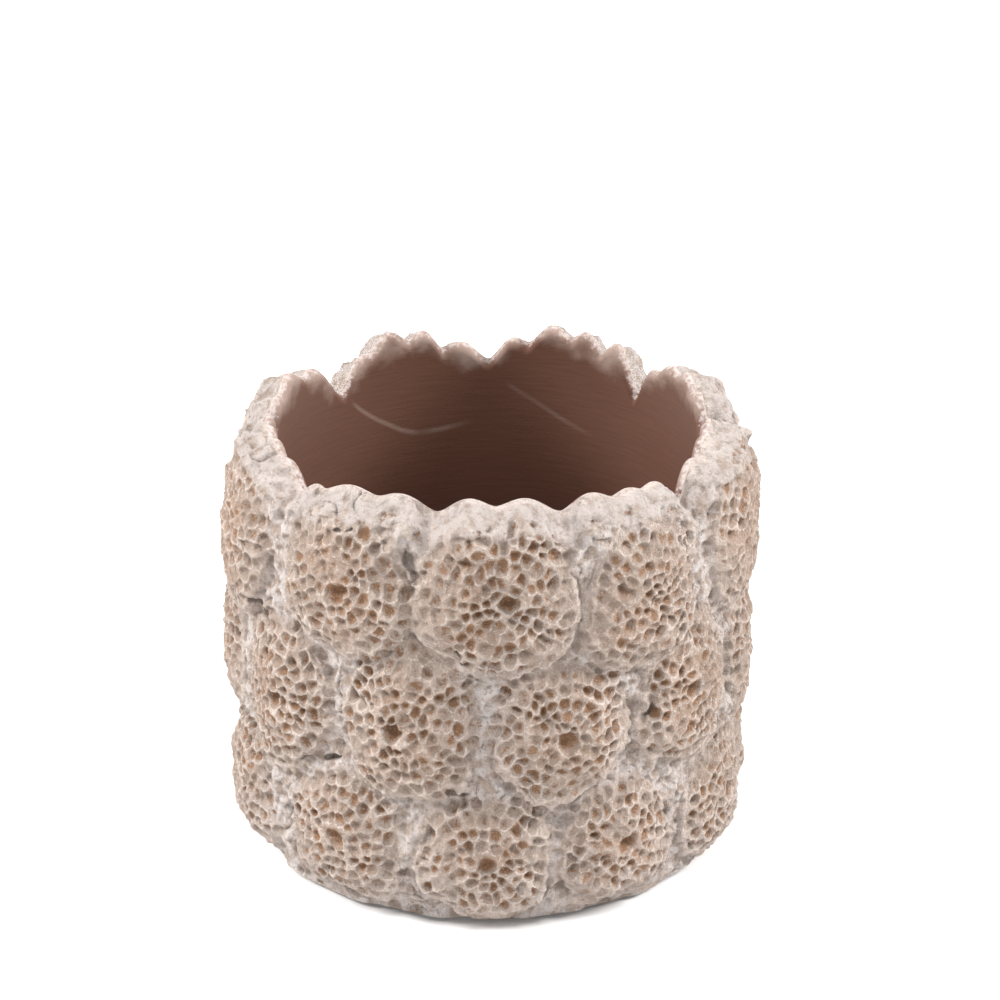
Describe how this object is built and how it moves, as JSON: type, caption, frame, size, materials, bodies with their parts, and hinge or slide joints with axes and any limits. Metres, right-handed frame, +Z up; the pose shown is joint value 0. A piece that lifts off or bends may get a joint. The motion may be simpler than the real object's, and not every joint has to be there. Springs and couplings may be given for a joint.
{
  "type": "cachepot",
  "caption": "Round cast-cement cachepot with staggered rows of domed relief outside, a scalloped rim, a smooth sealed well for a nursery pot, and felt pads below.",
  "frame": {"origin": "on the pot's axis, at the level of the surface that the felt pads stand on", "axes": "+Z up along the axis and out of the well's mouth, -Y towards the viewer of the picture, +X to the viewer's right"},
  "size_m": [0.1547, 0.1547, 0.1298],
  "materials": {
    "cement": "matt, pale wash over a brown stain in the hollows",
    "sealer": "brushed on, matt dark brown",
    "felt": "pressed felt"
  },
  "bodies": {
    "root": {"cast_pot": "cement", "sealing_coat": "sealer", "foot_pad_1": "felt", "foot_pad_2": "felt", "foot_pad_3": "felt", "foot_pad_4": "felt"}
  },
  "joints": []
}
